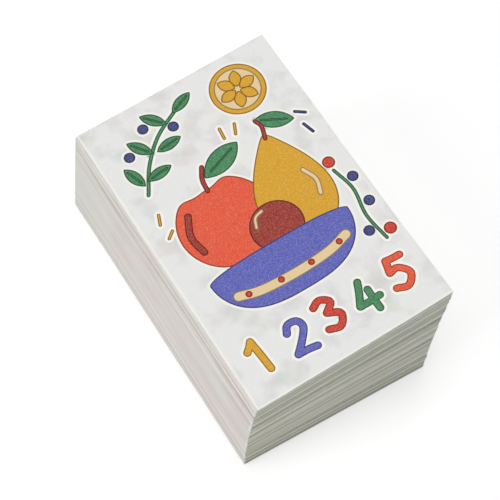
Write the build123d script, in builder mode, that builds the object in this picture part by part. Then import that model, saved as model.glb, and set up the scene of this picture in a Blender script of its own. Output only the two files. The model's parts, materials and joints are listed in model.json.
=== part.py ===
from build123d import *
import os
from calendar import mdays, month_name
from math import cos, radians, sin, tan

# Tear-off day calendar, lying on its board, in millimetres and degrees
# X runs from the glued long side to the free one, Y up the page, Z up through the leaves
# The origin is the middle of the board's underside

# Paper
leaf_width = 64.0
leaf_length = 100.0
paper_height = 38.0         # all the leaves and the cover, at the glued side
leaf_clearance = 0.002      # air between two leaves at the glue

# Board and glue
board_thickness = 1.0
glue_thickness = 0.4

# The glued side: how far its top leans out, and how far its middle bulges
lean_width = 0.8
bulge_width = 0.9

# How unevenly the leaves were knocked up before gluing
edge_wander = 0.16

# How far the loose side stands open, in degrees
leaf_angle = 0.017          # from one leaf to the next
stack_angle = 0.2           # from one month to the next
wide_angle = 0.8            # where the block falls open by itself
single_angle = 0.12         # under a leaf that turns by itself
wide_month = "july"

# Stacks from the board up, with their numbers of leaves; the first of January and the cover turn alone
stacks = {month_name[month].lower(): mdays[month] for month in range(12, 0, -1)}
stacks["january"] -= 1
stacks["first_day"] = 1
stacks["cover"] = 1

leaf_pitch = paper_height / sum(stacks.values())
leaf_thickness = leaf_pitch - leaf_clearance
block_height = board_thickness + paper_height
head = leaf_length / 2


def opening_under(stack):
    """Degrees by which a stack stands open from what it lies on."""
    if stacks[stack] == 1:
        return single_angle
    return wide_angle if stack == wide_month else stack_angle


def spine(height):
    """X of the glued leaf edges at a height: a straight lean and a parabolic bulge."""
    share = height / block_height
    return -leaf_width / 2 - lean_width * share - 4 * bulge_width * share * (1 - share)


def glued_edge(height, bottom, top):
    """X of the glued edges within one stack, on the straight line between its ends."""
    share = (height - bottom) / (top - bottom)
    return spine(bottom) + share * (spine(top) - spine(bottom))


def wander(leaf):
    """Offset of a leaf's free edges, by the leaf's number from the board."""
    return edge_wander * (0.6 * sin(1.9 * leaf) + 0.4 * sin(0.31 * leaf))


def leaf_section(leaf, low, tilt, bottom, top):
    """Corners of a leaf's cross-section, tilted about its glued edge."""
    high = low + leaf_thickness
    low_x = glued_edge(low, bottom, top)
    high_x = glued_edge(high, bottom, top)
    free_x = low_x + leaf_width * cos(radians(tilt)) + wander(leaf + 7)
    slope = tan(radians(tilt))
    return [
        (low_x, low),
        (free_x, low + slope * (free_x - low_x)),
        (free_x, high + slope * (free_x - high_x)),
        (high_x, high),
    ]


def glue_section(bottom, top):
    """Corners of a glue strip's cross-section, lying against its leaves' edges."""
    return [
        (spine(bottom) - glue_thickness, bottom),
        (spine(bottom), bottom),
        (spine(top), top),
        (spine(top) - glue_thickness, top),
    ]


def node_name(stack):
    """A stack's file name: leaf for a single one."""
    return f"{stack}_leaf" if stacks[stack] == 1 else f"{stack}_leaves"


os.makedirs("parts", exist_ok=True)

# Backing board, its glued edge on the same line as the leaves'
with BuildPart() as backing_board:
    with BuildSketch(Plane.XZ.offset(-head)):
        Polygon(
            (spine(0), 0),
            (leaf_width / 2, 0),
            (leaf_width / 2, board_thickness),
            (spine(board_thickness), board_thickness),
            align=None,
        )
    extrude(amount=leaf_length)
backing_board.part.label = "backing_board"
export_step(backing_board.part, "parts/backing_board.step")

# Glue along the board's edge
with BuildPart() as glue_backing:
    with BuildSketch(Plane.XZ.offset(-head)):
        Polygon(*glue_section(0, board_thickness), align=None)
    extrude(amount=leaf_length)
glue_backing.part.label = "glue_backing"
export_step(glue_backing.part, "parts/glue_backing.step")

# Stacks of separate leaves, each with its own strip of glue
leaf = 0
bottom = board_thickness
tilt = 0.0
for stack, leaves in stacks.items():
    top = bottom + leaves * leaf_pitch
    tilt += opening_under(stack)

    with BuildPart() as paper:
        for step in range(leaves):
            section = leaf_section(leaf + step, bottom + step * leaf_pitch, tilt + step * leaf_angle, bottom, top)
            with BuildSketch(Plane.XZ.offset(-head - wander(leaf + step))):
                Polygon(*section, align=None)
        extrude(amount=leaf_length)
    paper.part.label = node_name(stack)
    export_step(paper.part, f"parts/{node_name(stack)}.step")

    with BuildPart() as glue:
        with BuildSketch(Plane.XZ.offset(-head)):
            Polygon(*glue_section(bottom, top), align=None)
        extrude(amount=leaf_length)
    glue.part.label = f"glue_{stack}"
    export_step(glue.part, f"parts/glue_{stack}.step")

    leaf += leaves
    bottom = top
    tilt += (leaves - 1) * leaf_angle

print(f"block {block_height:.2f} high at the glue, top leaf tilted {tilt:.2f} degrees")
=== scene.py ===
import json
import bpy
import numpy as np
from mathutils import Matrix, Vector

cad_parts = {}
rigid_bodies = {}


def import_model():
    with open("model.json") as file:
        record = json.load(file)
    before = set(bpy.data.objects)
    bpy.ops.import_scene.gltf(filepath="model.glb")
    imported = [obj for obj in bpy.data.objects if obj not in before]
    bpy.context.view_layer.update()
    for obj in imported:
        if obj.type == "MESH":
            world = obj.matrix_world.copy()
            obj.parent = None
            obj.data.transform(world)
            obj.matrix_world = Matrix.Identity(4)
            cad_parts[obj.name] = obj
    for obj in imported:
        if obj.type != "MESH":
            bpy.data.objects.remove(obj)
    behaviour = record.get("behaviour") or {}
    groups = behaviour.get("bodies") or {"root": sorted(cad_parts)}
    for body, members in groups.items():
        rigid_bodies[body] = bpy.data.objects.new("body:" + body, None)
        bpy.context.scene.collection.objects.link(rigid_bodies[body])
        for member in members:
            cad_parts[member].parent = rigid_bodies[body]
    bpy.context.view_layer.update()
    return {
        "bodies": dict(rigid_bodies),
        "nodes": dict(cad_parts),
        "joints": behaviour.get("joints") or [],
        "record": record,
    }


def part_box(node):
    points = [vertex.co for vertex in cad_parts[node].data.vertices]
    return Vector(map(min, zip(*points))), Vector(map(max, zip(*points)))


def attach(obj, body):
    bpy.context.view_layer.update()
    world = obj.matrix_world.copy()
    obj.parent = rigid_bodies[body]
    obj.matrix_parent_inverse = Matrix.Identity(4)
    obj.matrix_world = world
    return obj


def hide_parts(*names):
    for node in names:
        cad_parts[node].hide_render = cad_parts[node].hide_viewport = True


# Tear-off day calendar: a thick block of thin leaves, glued on the left, loose on the other sides
# Shapes are worked out in millimetres and put into the meshes in metres

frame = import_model()
mm = 0.001
joints = {j["name"]: j for j in frame["joints"]}


# Meshes
def quadRows(*corners):
    # arrays of point numbers, one for each corner, turned to rows of four
    return np.stack(corners, -1).reshape(-1, 4)


def closedSkin(lower, upper):
    # two matching grids of points, lower and upper, joined round their four sides
    # the side of a face is 0 on the upper grid, 1 on the lower one and 2 on the rim
    rows, cols = lower.shape[:2]
    lo = np.arange(rows * cols).reshape(rows, cols)
    up = lo + rows * cols
    faces = [quadRows(up[:-1, :-1], up[1:, :-1], up[1:, 1:], up[:-1, 1:]),
             quadRows(lo[:-1, :-1], lo[:-1, 1:], lo[1:, 1:], lo[1:, :-1]),
             quadRows(lo[:-1, 0], lo[1:, 0], up[1:, 0], up[:-1, 0]),
             quadRows(lo[1:, -1], lo[:-1, -1], up[:-1, -1], up[1:, -1]),
             quadRows(lo[0, 1:], lo[0, :-1], up[0, :-1], up[0, 1:]),
             quadRows(lo[-1, :-1], lo[-1, 1:], up[-1, 1:], up[-1, :-1])]
    side = np.repeat([0, 1, 2, 2, 2, 2], [len(part) for part in faces])
    return np.concatenate([lower.reshape(-1, 3), upper.reshape(-1, 3)]), np.concatenate(faces), side


def joinSkins(skins):
    # skins one after another, their faces moved up by the points that came before
    points, faces, sides = zip(*skins)
    starts = np.cumsum([0] + [len(part) for part in points[:-1]])
    moved = [part + start for part, start in zip(faces, starts)]
    return np.concatenate(points), np.concatenate(moved), np.concatenate(sides)


def addObject(name, data):
    # a scene object at the origin
    item = bpy.data.objects.new(name, data)
    bpy.context.scene.collection.objects.link(item)
    return item


def makePiece(name, points, faces, materials, side=None, values=None):
    # a mesh with its place in its points, a material by the side of each face, and named point values
    mesh = bpy.data.meshes.new(name)
    mesh.from_pydata(points * mm, [], faces)
    for material in materials:
        mesh.materials.append(material)
    if side is not None:
        mesh.polygons.foreach_set("material_index", side.astype(np.int32))
    for key, value in (values or {}).items():
        mesh.attributes.new(key, "FLOAT", "POINT").data.foreach_set("value", value.astype(np.float32))
    mesh.update()
    return addObject(name, mesh)


# Material nodes
paperShine = 0.25  # specular level of every finish, all of them dull


def displayColour(red, green, blue):
    # screen values 0-255 to the linear colour that a shader takes
    c = np.array([red, green, blue]) / 255
    return (*np.where(c <= 0.04045, c / 12.92, ((c + 0.055) / 1.055) ** 2.4).tolist(), 1.0)


def grey(level):
    # a linear grey for masks
    return (level, level, level, 1.0)


def newMaterial(name, roughness):
    # the shader that every finish starts from
    material = bpy.data.materials.new(name)
    material.use_nodes = True
    tree = material.node_tree
    shader = tree.nodes["Principled BSDF"]
    shader.inputs["Roughness"].default_value = roughness
    shader.inputs["Specular IOR Level"].default_value = paperShine
    return material, tree, shader


def setInput(tree, socket, value):
    # a link from another socket, or a plain value
    if isinstance(value, bpy.types.NodeSocket):
        tree.links.new(value, socket)
    else:
        socket.default_value = value


def addNode(tree, kind, inputs=None, **settings):
    # a node with its settings, and its inputs linked or filled in
    node = tree.nodes.new("ShaderNode" + kind)
    for key, value in settings.items():
        setattr(node, key, value)
    for key, value in (inputs or {}).items():
        setInput(tree, node.inputs[key], value)
    return node


def calc(tree, operation, first, second=0.0):
    # one step of arithmetic
    return addNode(tree, "Math", {0: first, 1: second}, operation=operation).outputs[0]


def remap(tree, value, start, end, first=0.0, last=1.0):
    # a straight line from first at start to last at end, level beyond both
    inputs = {"Value": value, "From Min": start, "From Max": end, "To Min": first, "To Max": last}
    return addNode(tree, "MapRange", inputs).outputs[0]


def pointValue(tree, name):
    # a value that the mesh carries at its points
    return addNode(tree, "Attribute", attribute_name=name).outputs["Fac"]


def objectPlace(tree):
    # the piece's own coordinates, in metres
    return addNode(tree, "TexCoord").outputs["Object"]


def splitPlace(tree):
    # the same as separate X, Y and Z
    return addNode(tree, "SeparateXYZ", {"Vector": objectPlace(tree)}).outputs


def objectNoise(tree, scale, detail, stretch=(1, 1, 1)):
    # noise on the piece's own coordinates: scale in features per metre, detail, and a stretch for each axis
    mapping = addNode(tree, "Mapping", {"Vector": objectPlace(tree), "Scale": stretch})
    inputs = {"Vector": mapping.outputs["Vector"], "Scale": scale, "Detail": detail}
    return addNode(tree, "TexNoise", inputs).outputs["Fac"]


def ramp(tree, value, *stops):
    # a colour at each position, blended between them
    node = addNode(tree, "ValToRGB", {"Fac": value})
    while len(node.color_ramp.elements) < len(stops):
        node.color_ramp.elements.new(0.5)
    for element, (position, colour) in zip(node.color_ramp.elements, stops):
        element.position = position
        element.color = colour
    return node.outputs["Color"]


def lineRamp(tree, value, most, lines):
    # black from 0 to most, with a grey peak at each line: its place, half width and strength
    stops = [(0.0, grey(0))]
    for at, half, strength in lines:
        stops += [((at - half) / most, grey(0)), (at / most, grey(strength)), ((at + half) / most, grey(0))]
    return ramp(tree, calc(tree, "DIVIDE", value, most), *stops)


def mixColour(tree, factor, first, second, blend="MIX"):
    # from the first colour to the second by a factor
    node = addNode(tree, "Mix", data_type="RGBA", blend_type=blend)
    for number, value in ((0, factor), (6, first), (7, second)):  # sockets of the colour form, by number
        setInput(tree, node.inputs[number], value)
    return node.outputs[2]


def multiply(tree, first, second):
    # one mask times another
    return mixColour(tree, 1.0, first, second, "MULTIPLY")


def addBump(tree, shader, height, strength, distance):
    # fine relief that follows a height
    bump = addNode(tree, "Bump", {"Height": height, "Strength": strength, "Distance": distance})
    tree.links.new(bump.outputs["Normal"], shader.inputs["Normal"])


# Page paper
paper = {
    "fibreNoise": (5200, 4),  # scale and detail
    "fibre": [(0.35, displayColour(233, 233, 231)), (0.62, displayColour(241, 241, 239))],
    "tintNoise": (55, 2),
    "tints": [(0.40, displayColour(203, 206, 206)), (0.50, displayColour(216, 206, 205)),
              (0.60, displayColour(205, 212, 204))],  # print that shows through
    "patchNoise": (120, 5), "patchSpan": (0.48, 0.72), "coverPatches": 0.75, "dayPatches": 0.30,
    # rim: the colour of a painted highlight along the cover's glued edge and foot
    "rim": displayColour(252, 252, 246), "rimReach": (0.2, 0.9), "rimShare": 0.8,
    "roughness": 0.92, "bump": (0.12, 0.04 * mm)}


def pagePaper(name, patches, paintedRimHighlight=False):
    # uncoated white paper: fine fibre in colour and bump, soft patches of print from the leaf below, and on
    # the cover a painted highlight: a pale band along the glued edge and the foot
    material, tree, shader = newMaterial(name, paper["roughness"])
    fibre = objectNoise(tree, *paper["fibreNoise"])
    colour = ramp(tree, fibre, *paper["fibre"])
    tint = ramp(tree, objectNoise(tree, *paper["tintNoise"]), *paper["tints"])
    bare, full = paper["patchSpan"]
    amount = ramp(tree, objectNoise(tree, *paper["patchNoise"]), (bare, grey(0)), (full, grey(patches)))
    colour = mixColour(tree, amount, colour, tint)
    # painted highlight: paler up to 0.9 mm in from the glued edge and the foot
    if paintedRimHighlight:
        near = remap(tree, pointValue(tree, "rimDistance"), *paper["rimReach"], paper["rimShare"], 0.0)
        colour = mixColour(tree, near, colour, paper["rim"])
    tree.links.new(colour, shader.inputs["Base Color"])
    addBump(tree, shader, fibre, *paper["bump"])
    return material


coverPaper = pagePaper("coverPaper", paper["coverPatches"], True)
dayPaper = pagePaper("dayPaper", paper["dayPatches"])


# The stacks of day leaves, from the board up
leafBlock = {
    "paperShare": 0.97,  # of the way from one leaf to the next
    "wander": (0.015, 0.08),  # how far the free side and the foot stray
    "groupLeaves": 5.0, "groupReach": 12,  # leaves that stray together
    "uneven": 8,  # a high power leaves most leaves tight and opens a few
    "calm": 0.65, "waves": (2, 7), "wavePhase": 6.3,  # how the openings swell along the page
    "headStraight": 0.80,  # how much less the glued side bulges at the head
    "seed": 4, "across": [0, 0.5, 1], "along": [0, 0.15, 0.35, 0.6, 0.8, 1]}
thumbed = {
    "height": 0.9, "leaves": 60, "leafPower": 1.5, "curlPower": 5, "reach": 11.0,
    "across": [0, 0.55, 0.78, 0.92, 1], "along": [0, 0.05, 0.13, 0.26, 0.45, 0.72, 1]}
turnEnding = "_turn"
leafTriangles = 12  # of a plate with six faces
stackNames = [j["name"].removesuffix(turnEnding) for j in frame["joints"] if j["name"].endswith(turnEnding)]
hinges = [np.array(joints[stack + turnEnding]["pos_m"]) / mm for stack in stackNames]
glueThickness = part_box("cover_leaf")[0].x / mm - hinges[-1][0]
gluedCorners = [(hinge[0] + glueThickness, hinge[2]) for hinge in hinges]
gluedCorners.append((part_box("glue_cover")[1].x / mm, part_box("glue_cover")[1].z / mm))
gluedFoot, gluedTop = gluedCorners[0][1], gluedCorners[-1][1]  # heights
leafLength = (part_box("backing_board")[1].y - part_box("backing_board")[0].y) / mm
leafWidth = 2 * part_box("backing_board")[1].x / mm


def leafNode(stack):
    # a stack's CAD node, named for one leaf or for more
    single = stack + "_leaf"
    return single if single in frame["nodes"] else stack + "_leaves"


def leafBody(stack):
    # a stack's CAD body; a single leaf's has its node's name
    return stack if stack in frame["bodies"] else leafNode(stack)


def stackFacts(index):
    # glued corners from the joints, and the slopes of the lowest and highest leaf from the solids
    mesh = frame["nodes"][leafNode(stackNames[index])].data
    points = np.empty(len(mesh.vertices) * 3)
    mesh.vertices.foreach_get("co", points)
    points = points.reshape(-1, 3) / mm
    free = points[points[:, 0] > 0]
    low, high = gluedCorners[index], gluedCorners[index + 1]
    first, last = free[free[:, 2].argmin()], free[free[:, 2].argmax()]
    slopes = (first[2] - low[1]) / (first[0] - low[0]), (last[2] - high[1]) / (last[0] - high[0])
    return {"leaves": len(mesh.polygons) // leafTriangles, "low": low, "high": high, "slopes": slopes}


stackList = [stackFacts(index) for index in range(len(stackNames))]
firstNumbers = np.cumsum([0] + [facts["leaves"] for facts in stackList])
openings = [upper["slopes"][0] - lower["slopes"][1] for lower, upper in zip(stackList, stackList[1:])]
gapNumber = firstNumbers[1 + int(np.argmax(openings))]  # first leaf over the widest gap


# Cut leaf edges: dark and light lines are painted shadow and highlight for bundles of leaves a little in or
# out
# A line is given by leaf number, half width and strength, a streak by scale per metre and per leaf, and share
cutEdge = {
    "dark": (0.445, displayColour(176, 178, 154)), "light": (0.555, displayColour(252, 253, 232)),
    "streaks": [(5, 0.17, 0.70), (12, 0.42, 0.18), (9, 1.3, 0.12)],
    "streakNoise": (3.0, 0.6), "patchNoise": (1.0, 0.5),  # detail and roughness
    "patchScale": (24, 0.06), "patches": [(0.36, grey(0.4)), (0.50, grey(1))],  # where the lines fade
    # line colours: painted shadow and painted highlight; the dark one also paints the shade beside the widest
    # gap
    "lineDark": displayColour(96, 97, 82), "lineLight": displayColour(255, 255, 244),
    "darkLines": [(3, 9, 0.40), (22, 9, 0.75), (59, 8, 1.0), (120, 7, 0.30), (151, 7, 0.40), (189, 10, 0.30),
                  (250, 11, 0.60), (299, 9, 0.55), (341, 7, 0.35)],
    "lightLines": [(41, 9, 0.85), (75, 10, 1.0), (102, 9, 0.40), (134, 9, 0.35), (168, 11, 0.85),
                   (208, 14, 0.60), (271, 12, 1.0), (317, 9, 0.85), (362, 9, 0.85)],
    # the paler edge colour away from the foot; the foot side stays darker as painted shade
    "clean": displayColour(252, 252, 246), "footReach": (-49.5 * mm, -30 * mm), "awayShare": 0.45,
    "gapLeaves": 6, "gapShade": 0.85, "gapReach": (-4 * mm, 26 * mm),
    "toothNoise": (3000, 3), "roughness": 0.95, "bump": (0.3, 0.08 * mm)}


def leafNoise(tree, along, across, detail, roughness):
    # noise that follows the leaves: by metres in the page, by leaf number across the pages
    place = splitPlace(tree)
    number = pointValue(tree, "leafNumber")
    spot = {"X": calc(tree, "MULTIPLY", place["X"], along),
            "Y": calc(tree, "MULTIPLY", place["Y"], along),
            "Z": calc(tree, "MULTIPLY", number, across)}
    spot = addNode(tree, "CombineXYZ", spot).outputs[0]
    inputs = {"Vector": spot, "Scale": 1.0, "Detail": detail, "Roughness": roughness}
    return addNode(tree, "TexNoise", inputs).outputs["Fac"]


def edgeFinish():
    # long streaks of three widths along the leaves, paler away from the foot so that the foot side carries
    # painted shade, with the painted shadow and highlight lines on top, strongest at the foot, and painted
    # shade beside the widest gap towards the free side
    material, tree, shader = newMaterial("paperEdge", cutEdge["roughness"])
    place = splitPlace(tree)
    number = pointValue(tree, "leafNumber")
    streak = 0.0
    for along, across, share in cutEdge["streaks"]:
        noise = leafNoise(tree, along, across, *cutEdge["streakNoise"])
        streak = calc(tree, "ADD", calc(tree, "MULTIPLY", noise, share), streak)
    colour = ramp(tree, streak, cutEdge["dark"], cutEdge["light"])
    # painted shade: the foot side keeps the darker streaks, the other sides turn paler
    foot = remap(tree, place["Y"], *cutEdge["footReach"], 1.0, cutEdge["awayShare"])
    colour = mixColour(tree, calc(tree, "SUBTRACT", 1.0, foot), colour, cutEdge["clean"])
    patch = ramp(tree, leafNoise(tree, *cutEdge["patchScale"], *cutEdge["patchNoise"]), *cutEdge["patches"])
    patch = multiply(tree, patch, foot)
    # lines of painted shadow and highlight along bundles of leaves a little in or out
    for tone in ("Dark", "Light"):
        lines = lineRamp(tree, number, float(firstNumbers[-1]), cutEdge[tone.lower() + "Lines"])
        colour = mixColour(tree, multiply(tree, lines, patch), colour, cutEdge["line" + tone])
    gapMiddle = float(gapNumber) - 0.5
    away = calc(tree, "ABSOLUTE", calc(tree, "SUBTRACT", number, gapMiddle))
    near = remap(tree, away, 0.0, cutEdge["gapLeaves"], cutEdge["gapShade"], 0.0)
    freeSide = remap(tree, place["X"], *cutEdge["gapReach"])
    colour = mixColour(tree, calc(tree, "MULTIPLY", near, freeSide), colour, cutEdge["lineDark"])
    tree.links.new(colour, shader.inputs["Base Color"])
    addBump(tree, shader, objectNoise(tree, *cutEdge["toothNoise"]), *cutEdge["bump"])
    return material


paperEdge = edgeFinish()


def headLean(v, z):
    # towards the head the glued side bulges less: a parabola in height over the board, times the distance
    # from the foot
    t = np.clip((z - gluedFoot) / (gluedTop - gluedFoot), 0, 1)
    return leafBlock["headStraight"] * v / leafLength * 4 * t * (1 - t)


def thumbLift(number, u, v):
    # the loose foot corner of the upper leaves is thumbed up: a share by leaf number, times a power of the
    # way across, times a decay along
    s, t = np.array(thumbed["across"]), np.array(thumbed["along"])
    share = np.clip((number - firstNumbers[-1]) / thumbed["leaves"] + 1, 0, 1) ** thumbed["leafPower"]
    curl = np.interp(u / leafWidth, s, s ** thumbed["curlPower"])
    fade = np.interp(v / leafLength, t, np.exp(-t * leafLength / thumbed["reach"]))
    return thumbed["height"] * share * curl * fade


def stackSkins(index, rng):
    # leaf k is a plate through its glued edge; slopes rise leaf by leaf, in uneven shares that swell along
    # the page, and free edges stray in groups
    facts, n = stackList[index], stackList[index]["leaves"]
    grid = thumbed if firstNumbers[index + 1] > firstNumbers[-1] - thumbed["leaves"] else leafBlock
    s = np.array(grid["across"])[None, :, None]
    v = np.array(grid["along"])[None, None, :] * leafLength
    k = np.arange(n)[:, None, None]
    share = rng.random((n, 1, 1)) ** leafBlock["uneven"]
    share[0] = 0
    turns = rng.uniform(*leafBlock["waves"], (n, 1, 1))
    phase = rng.uniform(0, leafBlock["wavePhase"], (n, 1, 1))
    swell = 1 - leafBlock["calm"] * (0.5 + 0.5 * np.cos(v / leafLength * turns + phase))
    climb = np.cumsum(share / max(share.sum(), 1e-9) * swell, axis=0)  # a single leaf has no share
    climb[-1] = n > 1
    lowSlope, highSlope = facts["slopes"]
    slope = lowSlope + (highSlope - lowSlope) * climb
    reach = leafBlock["groupReach"]
    kernel = np.exp(-np.abs(np.arange(-reach, reach + 1)) / leafBlock["groupLeaves"])
    kernel /= np.sqrt((kernel ** 2).sum())
    stray = [most * np.convolve(rng.normal(size=n + 2 * reach), kernel, "valid")
             for most in leafBlock["wander"]]
    sideStray, footStray = [offset[:, None, None] for offset in stray]
    (lowX, lowZ), (highX, highZ) = facts["low"], facts["high"]
    pitch = (highZ - lowZ) / n
    gluedZ = lowZ + pitch * k
    across = s * (leafWidth / np.sqrt(1 + slope ** 2) + sideStray)
    x = lowX + (highX - lowX) * k / n + across + headLean(v, gluedZ)
    y = v - leafLength / 2 + footStray + 0 * across
    z = gluedZ + slope * across + thumbLift(firstNumbers[index] + k, s * leafWidth, v)
    lower = np.stack([x, y, z], -1)
    upper = lower + np.array([0, 0, pitch * leafBlock["paperShare"]])
    number = np.repeat(firstNumbers[index] + np.arange(n), 2 * s.size * v.size)
    return (*joinSkins([closedSkin(a, b) for a, b in zip(lower, upper)]), number)


rng = np.random.default_rng(leafBlock["seed"])
for index, stack in enumerate(stackNames[:-1]):
    points, faces, side, number = stackSkins(index, rng)
    materials = [dayPaper, dayPaper, paperEdge]  # upper page, lower page, rim
    piece = makePiece("leaves_" + stack, points, faces, materials, side, {"leafNumber": number})
    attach(piece, leafBody(stack))
    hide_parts(leafNode(stack))
print("day leaves:", firstNumbers[-2])


# The cover leaf
coverLeaf = {
    "rows": 41, "cols": 61, "thickness": 0.10, "glueGap": 0.02,
    "clear": 0.06, "curl": 0.15, "curlPower": 6,  # over the leaf below at the free edge
    "cockle": 0.05, "waves": [(0.11, 2.2, 0.0), (0.0, 3.1, 0.5), (0.23, -4.0, 1.0)],  # along, across, phase
    "short": 0.4, "shortAt": 42, "shortReach": 16}  # where the free edge falls short of the leaf below
coverFacts = stackList[-1]
coverSlope = np.arctan(coverFacts["slopes"][0])


def onCover(u, v, lift):
    # page place u from the glued edge and v from the foot, tilted with the leaf, plus a raised free edge and
    # soft waves: the first sine times the second and half the third, lifted so that they never dip
    s = u / leafWidth
    first, second, third = [np.sin(along * v + across * s + phase)
                            for along, across, phase in coverLeaf["waves"]]
    rise = coverLeaf["clear"] + coverLeaf["cockle"] * (1.5 + first * second + 0.5 * third)
    height = lift + s * rise + coverLeaf["curl"] * s ** coverLeaf["curlPower"]
    height = height + thumbLift(firstNumbers[-2], u, v)
    x0, z0 = coverFacts["low"]
    x0 = x0 + headLean(v, z0)
    return np.stack([x0 + u * np.cos(coverSlope) - height * np.sin(coverSlope), v - leafLength / 2 + 0 * u,
                     z0 + u * np.sin(coverSlope) + height * np.cos(coverSlope)], -1)


v = np.linspace(0, leafLength, coverLeaf["cols"])
edge = leafWidth - coverLeaf["short"] * np.exp(-((v - coverLeaf["shortAt"]) / coverLeaf["shortReach"]) ** 2)
u = coverLeaf["glueGap"] + np.linspace(0, 1, coverLeaf["rows"])[:, None] * (edge - coverLeaf["glueGap"])
v = v + 0 * u
points, faces, side = closedSkin(onCover(u, v, 0.0), onCover(u, v, coverLeaf["thickness"]))
values = {"leafNumber": np.full(len(points), firstNumbers[-2]),
          "rimDistance": np.tile(np.minimum(u, v).ravel(), 2)}
cover = makePiece("cover", points, faces, [coverPaper, dayPaper, paperEdge], side, values)
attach(cover, "cover_leaf")
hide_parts("cover_leaf")
print("cover leaf done")


# Inks
inks = {"mustard": (218, 160, 40), "violet": (92, 96, 180), "red": (205, 60, 45), "darkRed": (150, 52, 42),
        "orange": (230, 85, 55), "green": (65, 130, 85), "cream": (233, 205, 155), "navy": (60, 65, 120),
        "halo": (250, 248, 240)}
inkLook = {"toothNoise": (2600, 4), "toothSpan": (0.44, 0.66), "fleck": 0.78,
           "edge": 0.60, "haloEdge": 0.98, "edgeReach": (0.22, 0.48),
           "roughness": 0.85, "bump": (0.1, 0.03 * mm)}


def inkFinish(name):
    # pencil ink: light flecks where the paper tooth shows, and a darker line just inside the edge
    material, tree, shader = newMaterial("ink_" + name, inkLook["roughness"])
    screen = np.array(inks[name])
    light = displayColour(*(255 - (255 - screen) * inkLook["fleck"]))
    dark = displayColour(*(screen * inkLook["haloEdge" if name == "halo" else "edge"]))
    tooth = objectNoise(tree, *inkLook["toothNoise"])
    colour = ramp(tree, tooth, *zip(inkLook["toothSpan"], (displayColour(*screen), light)))
    inside = remap(tree, pointValue(tree, "rimDistance"), *inkLook["edgeReach"])
    tree.links.new(mixColour(tree, inside, dark, colour), shader.inputs["Base Color"])
    addBump(tree, shader, tooth, *inkLook["bump"])
    return material


inkMaterials = {name: inkFinish(name) for name in inks}


# Printed shapes: grids of page places, with the distance from the rim as a third value
inkFilm = {
    "root": 0.03,  # how deep a film reaches into the paper
    "step": 4e-4, "steps": 6,  # small lifts in turn, for films of one layer that cross
    "penEdge": 0.6,  # how much narrower a stroke's filling is than its dark line
    "unedged": 9.0,  # a rim distance that draws no darker edge
    "strokeSamples": 48, "angleStep": 0.01}


def shapeGrid(outline, place, turn, grow, count):
    # square grid drawn out to a closed outline: ring r of the square goes to r times the outline, which is
    # grown along its normal
    a, b = np.meshgrid(np.linspace(-1, 1, count), np.linspace(-1, 1, count), indexing="ij")
    wide = abs(a) > abs(b)
    ring = np.where(wide, a, b)
    angle = np.where(wide, b / a, 2 - a / b) * np.pi / 4 + np.where(ring < 0, np.pi, 0)
    x, y = outline(angle)
    x1, y1 = outline(angle + inkFilm["angleStep"])
    x0, y0 = outline(angle - inkFilm["angleStep"])
    length = np.hypot(x1 - x0, y1 - y0) + 1e-9
    nx, ny = (y1 - y0) / length, (x0 - x1) / length
    ring = abs(ring)
    rim = (1 - ring) * abs(x * nx + y * ny)
    x, y = ring * (x + grow * nx), ring * (y + grow * ny)
    c, s = np.cos(turn), np.sin(turn)
    return np.stack([place[0] + c * x - s * y, place[1] + s * x + c * y, rim], -1)


def smoothLine(path, count):
    # cubic through the given points, its slope at each being half the step between its two neighbours,
    # at even steps of its parameter
    p = np.array(path, float)
    p = np.concatenate([[2 * p[0] - p[1]], p, [2 * p[-1] - p[-2]]])
    t = np.linspace(0, len(p) - 3 - 1e-6, count)
    i = t.astype(int)
    f = (t - i)[:, None]
    before, start, end, after = p[i], p[i + 1], p[i + 2], p[i + 3]
    square = 2 * before - 5 * start + 4 * end - after
    cube = 3 * start - before - 3 * end + after
    return start + 0.5 * f * (end - before + f * (square + f * cube))


def strokeGrid(path, width, rim, samples=inkFilm["strokeSamples"]):
    # smooth line through the given points, carried on straight by half the width past both ends,
    # and widened to a strip whose ends are half circles round the first and last point
    line = smoothLine(path, 2 * samples)
    run = np.concatenate([[0], np.cumsum(np.linalg.norm(np.diff(line, axis=0), axis=1))])
    spread = np.cos(np.linspace(0, np.pi, samples))  # closer near the ends
    place = run[-1] / 2 - (run[-1] + width) / 2 * spread
    past = np.maximum(-place, place - run[-1]).clip(0)
    middle, along = [np.stack([np.interp(place, run, values[:, axis]) for axis in (0, 1)], -1)
                     for values in (line, np.gradient(line, axis=0))]
    along /= np.linalg.norm(along, axis=1)[:, None]
    middle = middle + along * (past * np.sign(place))[:, None]
    half = width / 2 * np.sqrt(np.clip(1 - (2 * past / width) ** 2, 0.001, 1))  # ends a hair wide
    side = np.stack([-along[:, 1], along[:, 0]], -1)
    points = middle[:, None] + side[:, None] * (half[:, None] * np.array([-1.0, 0.0, 1.0]))[..., None]
    return np.concatenate([points, np.full(points.shape[:2] + (1,), rim)], -1)


# outlines as x and y of the angle q round the shape
def roundish(wide, high):
    # ellipse
    return lambda q: (wide * np.cos(q), high * np.sin(q))


def appleLike(size, topDent=0.20, footDent=0.07, dentWidth=0.10):
    # circle with a dent above and a smaller one below
    dent = lambda q, at, deep: 1 - deep * np.exp(-((np.cos(q - at) - 1) / dentWidth) ** 2)
    radius = lambda q: size * dent(q, np.pi / 2, topDent) * dent(q, -np.pi / 2, footDent)
    return lambda q: (radius(q) * np.cos(q), radius(q) * np.sin(q))


def pearLike(wide, high, middle=0.80, taper=0.36, belly=0.10):
    # ellipse that narrows towards its top
    return lambda q: (wide * np.cos(q) * (middle - taper * np.sin(q) + belly * np.cos(2 * q)),
                      high * np.sin(q))


def leafLike(length, wide, sharp=0.7):
    # two arcs that meet in points at both ends
    return lambda q: (length * np.cos(q), wide * np.sin(q) * abs(np.sin(q)) ** sharp)


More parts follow.
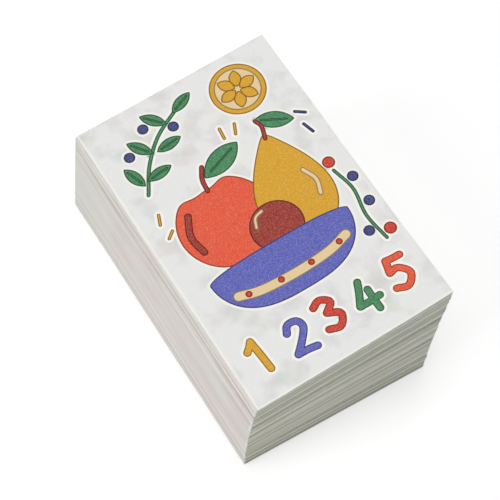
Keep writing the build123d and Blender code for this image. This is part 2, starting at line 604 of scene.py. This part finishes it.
def bowlLike(wide, deep, lip, full=0.7):
    # half ellipse below, nearly flat above
    return lambda q: (wide * np.sign(np.cos(q)) * abs(np.cos(q)) ** full,
                      np.where(np.sin(q) > 0, lip, deep) * np.sin(q))


# pen lines of the numerals in a box 1 wide and 1.4 high
digitLines = {
    "1": [[(0.16, 1.08), (0.36, 1.22), (0.52, 1.38)],
          [(0.52, 1.38), (0.52, 0.7), (0.5, 0)]],
    "2": [[(0.1, 1.02), (0.28, 1.34), (0.68, 1.34), (0.82, 1.0), (0.5, 0.5), (0.1, 0.04)],
          [(0.1, 0.04), (0.5, 0.06), (0.95, 0.03)]],
    "3": [[(0.12, 1.26), (0.5, 1.4), (0.84, 1.1), (0.44, 0.78)],
          [(0.44, 0.78), (0.9, 0.46), (0.58, 0.02), (0.1, 0.16)]],
    "4": [[(0.56, 1.4), (0.34, 0.95), (0.06, 0.46)],
          [(0.06, 0.46), (0.5, 0.44), (1.0, 0.46)],
          [(0.72, 0.92), (0.7, 0.4), (0.7, 0)]],
    "5": [[(0.88, 1.38), (0.55, 1.36), (0.24, 1.37)],
          [(0.24, 1.37), (0.2, 1.1), (0.16, 0.82)],
          [(0.16, 0.82), (0.55, 0.9), (0.92, 0.5), (0.6, 0.03), (0.1, 0.12)]]}


def numeralLines(digit, place, size, lean):
    # the digit's lines, sized and leaned, with their middle foot at the place
    turn = np.array([[np.cos(lean), np.sin(lean)], [-np.sin(lean), np.cos(lean)]])
    return [(np.array(line) - (0.5, 0)) * size @ turn + place for line in digitLines[digit]]


def inkLine(path, width, layer):
    # a dark pen line and, half a layer over it, the lighter filling
    return [(layer, strokeGrid(path, width, 0.0)),
            (layer + 0.5, strokeGrid(path, width - inkFilm["penEdge"], inkFilm["unedged"]))]


def printPiece(name, layers, ink, firstLift, layerLift, surface, body):
    # grids of page places carried onto the leaf, each a closed film from inside the paper up to its layer
    skins = []
    for i, (layer, grid) in enumerate(layers):
        lift = firstLift + layerLift * layer + inkFilm["step"] * (i % inkFilm["steps"])
        u, v = grid[..., 0], grid[..., 1]
        skins.append(closedSkin(surface(u, v, firstLift - inkFilm["root"]), surface(u, v, lift)))
    points, faces, side = joinSkins(skins)
    rim = np.concatenate([np.tile(grid[..., 2].ravel(), 2) for layer, grid in layers])
    piece = makePiece(name, points, faces, [inkMaterials[ink]], values={"rimDistance": rim})
    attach(piece, body)


# Cover print: a bowl of fruit with sprigs, over a row of plain numerals
# Places are across from the glued edge and up from the foot
coverPrint = {"halo": 0.75, "haloLayers": 4, "lift": 0.008, "layer": 0.008}
citrus = {"place": (48, 88), "rind": 8.6, "pulp": 7.1,
          "segments": 6, "segment": (2.9, 1.9), "ring": 3.6, "turn": 0.2}
sprig = {"leaf": (4.3, 1.9), "vein": 0.75, "veinShare": 0.62,
         "leaves": [((7.5, 79), 1.9), ((14.3, 76.5), 0.1), ((13.5, 86.5), 2.2), ((21.5, 83.2), 0.1),
                    ((21.5, 92.5), 2.3), ((31.5, 93.2), 0.4)]}
numeralRow = {"first": 9.5, "step": 11.2, "foot": 7.2, "hop": 1.2, "size": 7.0, "pen": 2.3,
              "inkAndLean": {"1": ("mustard", 0.10), "2": ("violet", -0.08), "3": ("red", 0.06),
                             "4": ("green", 0.02), "5": ("orange", -0.10)}}
coverShapes = [
    # ink, layer, outline, place, turn, grid count
    ("orange", 1, appleLike(14.5), (22.5, 53), 0.08, 22),
    ("mustard", 2, pearLike(12.5, 18), (44, 53), -0.12, 22),
    ("darkRed", 3, roundish(8.2, 7.8), (34, 44), 0.2, 16),
    ("violet", 4, bowlLike(23, 15, 2.5), (31, 38), 0.0, 24),
    ("mustard", 1, roundish(citrus["rind"], citrus["rind"]), citrus["place"], 0.0, 18),
    ("cream", 5, roundish(citrus["pulp"], citrus["pulp"]), citrus["place"], 0.0, 18)]
for q in np.arange(citrus["segments"]) * 2 * np.pi / citrus["segments"] + citrus["turn"]:
    place = citrus["place"] + citrus["ring"] * np.array([np.cos(q), np.sin(q)])
    coverShapes.append(("mustard", 6, leafLike(*citrus["segment"]), place, q, 10))
# green leaves: length, width, place and turn, two on the fruit and the rest on the sprig
greenLeaves = [(7.5, 3.6, (31.5, 70.5), 0.35), (6.0, 2.8, (51.5, 73.5), -0.5)]
greenLeaves += [(*sprig["leaf"], place, turn) for place, turn in sprig["leaves"]]
coverShapes += [("green", 3, leafLike(length, wide), place, turn, 14)
                for length, wide, place, turn in greenLeaves]
# berries and dots: ink, layer, radius, grid count and places
berries = [
    ("navy", 2, 1.7, 10, [(25.5, 87.5), (9.5, 85.5), (17.5, 91.5), (55, 28.5), (60.3, 36.5), (60.6, 45.5)]),
    ("red", 2, 1.9, 10, [(57.2, 53), (60.5, 26)]),
    ("red", 7, 1.0, 8, [(16, 30.3), (26, 29.2), (36, 29.2), (46, 30.3)])]
coverShapes += [(ink, layer, roundish(radius, radius), place, 0.0, count)
                for ink, layer, radius, count, places in berries for place in places]
coverLines = [
    # ink, layer, path, width
    ("green", 1, [(8, 72), (13, 80), (20, 87), (29, 92)], 1.2),
    ("green", 1, [(58, 24), (57, 33), (58.5, 42), (57, 50)], 1.1),
    ("darkRed", 2, [(23, 64), (23.6, 68), (25.5, 71.5)], 1.5),
    ("darkRed", 3, [(46, 69.5), (47.2, 73.5), (46.5, 76)], 1.4),
    ("darkRed", 5, [(12.2, 48), (11.4, 54), (14, 60)], 2.2),
    ("cream", 5, [(50, 46), (51.3, 50.5), (49.7, 55)], 1.6),
    ("cream", 5, [(13.2, 31.2), (20, 29.4), (31, 28.8), (42, 29.4), (48.8, 31.2)], 3.2),
    ("cream", 5, [(28.6, 46.5), (30, 49.3), (32.6, 50.2)], 1.2),
    ("mustard", 1, [(6, 62), (7.2, 65)], 1.0),
    ("mustard", 1, [(6, 57), (8, 58.6)], 1.0),
    ("mustard", 1, [(36, 76), (36.4, 79.5)], 1.0),
    ("mustard", 1, [(39.6, 75.5), (41, 78.6)], 1.0),
    ("navy", 1, [(59, 64), (58, 67.5)], 1.0),
    ("navy", 1, [(60.5, 70.5), (58, 72.4)], 1.0)]
for length, wide, place, turn in greenLeaves:
    vein = sprig["veinShare"] * length * np.array([np.cos(turn), np.sin(turn)])
    coverLines.append(("green", 4, [place - vein, place, place + vein], sprig["vein"]))
for digit, (ink, lean) in numeralRow["inkAndLean"].items():
    place = (numeralRow["first"] + numeralRow["step"] * (int(digit) - 1),
             numeralRow["foot"] + numeralRow["hop"] * (int(digit) % 2))
    strokes = numeralLines(digit, place, numeralRow["size"], lean)
    coverLines += [(ink, 1, path, numeralRow["pen"]) for path in strokes]
coverInks = {name: [] for name in inks}
for ink, layer, outline, place, turn, count in coverShapes:
    coverInks[ink].append((layer, shapeGrid(outline, place, turn, 0.0, count)))
    if layer <= coverPrint["haloLayers"]:
        coverInks["halo"].append((0, shapeGrid(outline, place, turn, coverPrint["halo"], count)))
for ink, layer, path, width in coverLines:
    coverInks[ink].extend(inkLine(path, width, layer))
    if layer <= coverPrint["haloLayers"]:
        coverInks["halo"].append((0, strokeGrid(path, width + 2 * coverPrint["halo"], inkFilm["unedged"])))
coverTop = coverLeaf["thickness"] + coverPrint["lift"]
for ink, layers in coverInks.items():
    printPiece("cover_" + ink, layers, ink, coverTop, coverPrint["layer"], onCover, "cover_leaf")
print("cover print:", sum(len(layers) for layers in coverInks.values()), "shapes")


# Day leaf print: one large numeral, a headline bar and ruled lines on the uppermost leaf of every stack
dayPrint = {"numeral": 22.5, "numeralFoot": (32, 38), "lean": 0.04, "stroke": 4.2, "inkCount": 6,
            "headline": [(16, 88), (25, 88.6), (36, 87.8), (48, 88.2)],
            "rule": 0.4, "ruleAcross": (8, 32, 56), "ruleHeights": (10, 16, 22, 28), "ruleSamples": 10,
            "lift": 0.012, "layer": 0.004}


def onLeaf(index):
    # page on the stack's uppermost leaf: distance across along its slope, its thumbed corner, and a lift
    # straight up
    facts = stackList[index]
    n, slope, number = facts["leaves"], facts["slopes"][1], firstNumbers[index + 1] - 1
    pitch = (facts["high"][1] - facts["low"][1]) / n
    x0 = facts["low"][0] + (facts["high"][0] - facts["low"][0]) * (n - 1) / n
    z0 = facts["high"][1] - pitch * (1 - leafBlock["paperShare"])
    run = 1 / np.sqrt(1 + slope ** 2)
    return lambda u, v, lift: np.stack([x0 + u * run + headLean(v, z0), v - leafLength / 2,
                                        z0 + slope * u * run + thumbLift(number, u, v) + lift], -1)


rules = []
for height in dayPrint["ruleHeights"]:
    path = [(across, height) for across in dayPrint["ruleAcross"]]
    rules.append((0, strokeGrid(path, dayPrint["rule"], inkFilm["unedged"], dayPrint["ruleSamples"])))
for index, stack in enumerate(stackNames[:-1]):
    ink = list(inks)[index % dayPrint["inkCount"]]
    digit = "2" if stack == "january" else "1"  # the first of January is a leaf by itself
    strokes = numeralLines(digit, dayPrint["numeralFoot"], dayPrint["numeral"], dayPrint["lean"])
    strokes.append(dayPrint["headline"])
    big = [part for path in strokes for part in inkLine(path, dayPrint["stroke"], 0)]
    for name, layers, colour in (("day_" + stack, big, ink), ("rules_" + stack, rules, "navy")):
        printPiece(name, layers, colour, dayPrint["lift"], dayPrint["layer"],
                   onLeaf(index), leafBody(stack))
print("day leaf print done")


# Glue film: lines are given by depth under the top, half width and strength
glueFilm = {"rows": 9, "cols": 41, "clear": 0.009, "lineTilt": 0.006,
            "crease": 0.5, "creaseWidth": 0.22, "creasedStacks": 4,
            "swell": 0.05, "swellWaves": [(0.17, 0.3), (0.05, -0.4)]}  # per mm along and up
glueLook = {
    "toneNoise": (60, 3),
    "tones": [(0.35, displayColour(238, 228, 223)), (0.65, displayColour(240, 237, 230))],
    "head": displayColour(236, 237, 228), "headReach": (15 * mm, 50 * mm), "headShare": 0.8,
    "faintNoise": (900, 3, (0.05, 0.05, 2.4)), "faintDepths": (6.0, 15.0), "faintShares": (1.0, 0.35),
    # sunk and raised leaves: painted shade and painted highlight, in colour only
    "sunk": [(0.32, grey(0.8)), (0.47, grey(0))], "raised": [(0.54, grey(0)), (0.68, grey(0.8))],
    "sunkTone": displayColour(198, 186, 180), "raisedTone": displayColour(252, 248, 244),
    "darkLines": [(2.6, 0.5, 0.5), (5.0, 0.7, 0.85), (6.2, 0.45, 0.3), (10.6, 0.7, 0.5), (22.2, 1.6, 0.15),
                  (30.8, 1.0, 0.25), (35.0, 0.9, 0.55)],
    "lightLines": [(1.7, 0.5, 0.35), (3.8, 0.55, 0.85), (8.5, 1.5, 1.0), (16.0, 1.8, 0.3), (28.2, 1.6, 0.6),
                   (32.9, 1.0, 1.0)],
    # line colours: the dark one paints the shade of the grooves
    "lineDark": displayColour(178, 166, 160), "lineLight": displayColour(252, 248, 244),
    "breakNoise": (90, 4, (0.4, 0.4, 7)), "breaks": [(0.38, grey(0.4)), (0.56, grey(1))],
    "lineReach": (-50 * mm, 50 * mm), "headLines": 0.45,
    # painted shade, darker towards the bottom of the glued side, where it meets the floor
    "soil": displayColour(170, 164, 160), "soilDepth": 35.5, "soilShare": 0.12,
    # corner colour, reach and lines: a painted highlight on the glued side at the foot corner
    "corner": displayColour(255, 252, 244), "cornerReach": (-49.6 * mm, -49.0 * mm),
    "cornerLines": [(3, 2, 0.4), (12, 6, 1.0), (24, 5, 1.0), (33, 3, 0.8)],
    "roughness": 0.55, "bump": (-0.4, 0.1 * mm)}


def glueFinish():
    # dried padding glue: warm cream, a little satin, faint leaves painted darker and lighter as the shade and
    # highlight of sunk and raised edges, stronger lines that fade towards the head, the dark ones also
    # grooves with painted shade, painted shade along the bottom and a painted highlight at the foot corner
    material, tree, shader = newMaterial("driedGlue", glueLook["roughness"])
    depth = pointValue(tree, "lineDepth")
    along = splitPlace(tree)["Y"]
    colour = ramp(tree, objectNoise(tree, *glueLook["toneNoise"]), *glueLook["tones"])
    headEnd = remap(tree, along, *glueLook["headReach"], 0.0, glueLook["headShare"])
    colour = mixColour(tree, headEnd, colour, glueLook["head"])
    faint = objectNoise(tree, *glueLook["faintNoise"])
    upper = remap(tree, depth, *glueLook["faintDepths"], *glueLook["faintShares"])
    # faint leaves painted darker where sunk and lighter where raised, as their shade and highlight
    for tone in ("sunk", "raised"):
        leaves = multiply(tree, ramp(tree, faint, *glueLook[tone]), upper)
        colour = mixColour(tree, leaves, colour, glueLook[tone + "Tone"])
    gaps = objectNoise(tree, *glueLook["breakNoise"])
    footwards = remap(tree, along, *glueLook["lineReach"], 1.0, glueLook["headLines"])
    broken = multiply(tree, ramp(tree, gaps, *glueLook["breaks"]), footwards)
    # the dark lines are also grooves in the bump, and their darker colour is painted shade
    dark, light = [multiply(tree, lineRamp(tree, depth, gluedTop, glueLook[lines]), broken)
                   for lines in ("darkLines", "lightLines")]
    colour = mixColour(tree, dark, colour, glueLook["lineDark"])
    colour = mixColour(tree, light, colour, glueLook["lineLight"])
    # painted shade: darker towards the bottom of the glued side, where it meets the floor
    soil = remap(tree, depth, glueLook["soilDepth"], gluedTop, 0.0, glueLook["soilShare"])
    colour = mixColour(tree, multiply(tree, soil, broken), colour, glueLook["soil"])
    # painted highlight: paler lines on the glued side close to the foot corner
    corner = multiply(tree, remap(tree, along, *glueLook["cornerReach"], 1.0, 0.0),
                      lineRamp(tree, depth, gluedTop, glueLook["cornerLines"]))
    colour = mixColour(tree, corner, colour, glueLook["corner"])
    tree.links.new(colour, shader.inputs["Base Color"])
    addBump(tree, shader, dark, *glueLook["bump"])
    return material


def glueSkin(low, high, crease):
    # a film on the leaf edges: inner face straight, outer face one thickness out, thinned at each end of the
    # strip and swollen by the product of two sines
    t = np.linspace(0, 1, glueFilm["rows"])[:, None]
    y = np.linspace(-leafLength / 2, leafLength / 2, glueFilm["cols"])[None, :]
    z = low[1] + (high[1] - low[1]) * t
    x = low[0] + (high[0] - low[0]) * t + headLean(y + leafLength / 2, z)
    z = z + glueFilm["clear"] * (1 - 2 * t)  # a hair free of the strips above and below
    fromEnd = np.minimum(t, 1 - t) * (high[1] - low[1])
    thick = glueThickness * (1 - crease * np.exp(-(fromEnd / glueFilm["creaseWidth"]) ** 2))
    first, second = [np.sin(along * y + up * z) for along, up in glueFilm["swellWaves"]]
    swell = glueFilm["swell"] * first * second * (thick / glueThickness)
    inner = np.stack([x - glueFilm["clear"], y + 0 * x, z + 0 * y], -1)
    outer = np.stack([x - thick - swell, y + 0 * x, z + 0 * y], -1)
    return closedSkin(inner, outer)


driedGlue = glueFinish()
bodyOf = {node: body for body, nodes in frame["record"]["behaviour"]["bodies"].items() for node in nodes}
boardCorner = (-leafWidth / 2, 0.0)
for index, stack in enumerate(["backing"] + stackNames):
    low = gluedCorners[index - 1] if index else boardCorner
    creased = len(stackNames) - index < glueFilm["creasedStacks"] or index == 0
    points, faces, side = glueSkin(low, gluedCorners[index], glueFilm["crease"] if creased else 0.0)
    depth = gluedTop - points[:, 2] - glueFilm["lineTilt"] * points[:, 1]
    piece = makePiece("film_" + stack, points, faces, [driedGlue], values={"lineDepth": depth})
    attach(piece, bodyOf["glue_" + stack])
    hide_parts("glue_" + stack)
print("glue film done")


# Backing board
boardLook = {
    "pulpNoise": (700, 5),
    "pulp": [(0.35, displayColour(168, 165, 155)), (0.65, displayColour(192, 188, 178))],
    "fleckNoise": (2600, 2, (1, 0.4, 1)), "flecks": [(0.64, grey(0)), (0.72, grey(0.6))],
    "fleck": displayColour(110, 106, 98), "roughness": 0.9, "bump": (0.3, 0.2 * mm)}


def boardFinish():
    # grey board: pressed waste paper, light and dark in clouds, with darker flecks
    material, tree, shader = newMaterial("greyBoard", boardLook["roughness"])
    pulp = objectNoise(tree, *boardLook["pulpNoise"])
    fleck = objectNoise(tree, *boardLook["fleckNoise"])
    colour = mixColour(tree, ramp(tree, fleck, *boardLook["flecks"]), ramp(tree, pulp, *boardLook["pulp"]),
                       boardLook["fleck"])
    tree.links.new(colour, shader.inputs["Base Color"])
    addBump(tree, shader, pulp, *boardLook["bump"])
    return material


board = frame["nodes"]["backing_board"]
board.data.materials.clear()
board.data.materials.append(boardFinish())
print("board done")


# Floor, world and lights
studio = {
    "floor": 0.80, "floorRoughness": 1.0, "floorReach": 3.0, "floorDrop": 0.05 * mm,  # just below the board
    "floorGlow": (0.36, 0.92), "glowReach": (0.3, 1.5), "world": 0.15,
    "aim": (0, 0, 0.02),
    "softBoxes": {  # place, size and power
        "overhead": ((-0.10, -0.08, 1.10), 0.9, 8.2),
        "leftSide": ((-0.85, 0.10, 0.55), 0.6, 2.65),
        "backFill": ((0.75, 0.75, 0.45), 0.6, 1.6)}}


def seenRays(tree):
    # 1 for rays from the camera, off a gloss or through glass, 0 for rays that light the object
    rays = addNode(tree, "LightPath").outputs
    seen = calc(tree, "MAXIMUM", rays["Is Camera Ray"], rays["Is Glossy Ray"])
    return calc(tree, "MAXIMUM", seen, rays["Is Transmission Ray"])


def floorFinish():
    # pale floor with a little glow, for the seen rays only, that lifts it to white and leaves the shadow;
    # more of it far out
    material, tree, shader = newMaterial("paleFloor", studio["floorRoughness"])
    shader.inputs["Base Color"].default_value = grey(studio["floor"])
    shader.inputs["Emission Color"].default_value = grey(1)
    away = addNode(tree, "VectorMath", {0: objectPlace(tree)}, operation="LENGTH").outputs["Value"]
    amount = remap(tree, away, *studio["glowReach"], *studio["floorGlow"])
    tree.links.new(calc(tree, "MULTIPLY", seenRays(tree), amount), shader.inputs["Emission Strength"])
    return material


def softLight(name, place, size, power):
    # a square soft box aimed at the middle of the block
    lamp = bpy.data.lights.new(name, "AREA")
    lamp.size = size
    lamp.energy = power
    holder = addObject(name, lamp)
    holder.location = place
    holder.rotation_euler = (Vector(studio["aim"]) - Vector(place)).to_track_quat("-Z", "Y").to_euler()


far, under = studio["floorReach"], -studio["floorDrop"]
floorMesh = bpy.data.meshes.new("floor")
floorMesh.from_pydata([(-far, -far, under), (far, -far, under), (far, far, under), (-far, far, under)], [],
                      [(0, 1, 2, 3)])
floorMesh.materials.append(floorFinish())
floor = addObject("floor", floorMesh)

world = bpy.data.worlds.new("studio")
bpy.context.scene.world = world
world.use_nodes = True
worldTree = world.node_tree
background = worldTree.nodes["Background"]
background.inputs["Color"].default_value = grey(1)
strength = remap(worldTree, seenRays(worldTree), 0.0, 1.0, studio["world"], 1.0)
worldTree.links.new(strength, background.inputs["Strength"])

for name, (place, size, power) in studio["softBoxes"].items():
    softLight(name, place, size, power)


# Camera: angles in degrees, distance and shift of its place in mm, focal length in pixels of the picture
view = {"azimuth": -42.94, "elevation": 59.89, "roll": 12.44, "distance": 511.2, "right": 0.85, "up": 10.51,
        "focal": 1658.0, "imageWidth": 500, "sensor": 36}
az, el, roll = (np.radians(view[key]) for key in ("azimuth", "elevation", "roll"))
back = Vector((np.sin(az) * np.cos(el), -np.cos(az) * np.cos(el), np.sin(el)))
right = Vector((0, 0, 1)).cross(back).normalized()
up = back.cross(right)
right, up = right * np.cos(roll) + up * np.sin(roll), up * np.cos(roll) - right * np.sin(roll)
place = (right * view["right"] + up * view["up"] + back * view["distance"]) * mm
lens = bpy.data.cameras.new("camera")
lens.sensor_width = view["sensor"]
lens.lens = view["focal"] / view["imageWidth"] * lens.sensor_width
camera = addObject("camera", lens)
camera.matrix_world = Matrix.Translation(place) @ Matrix((right, up, back)).transposed().to_4x4()
bpy.context.scene.camera = camera
bpy.context.scene.view_settings.view_transform = "Standard"
print("studio done")
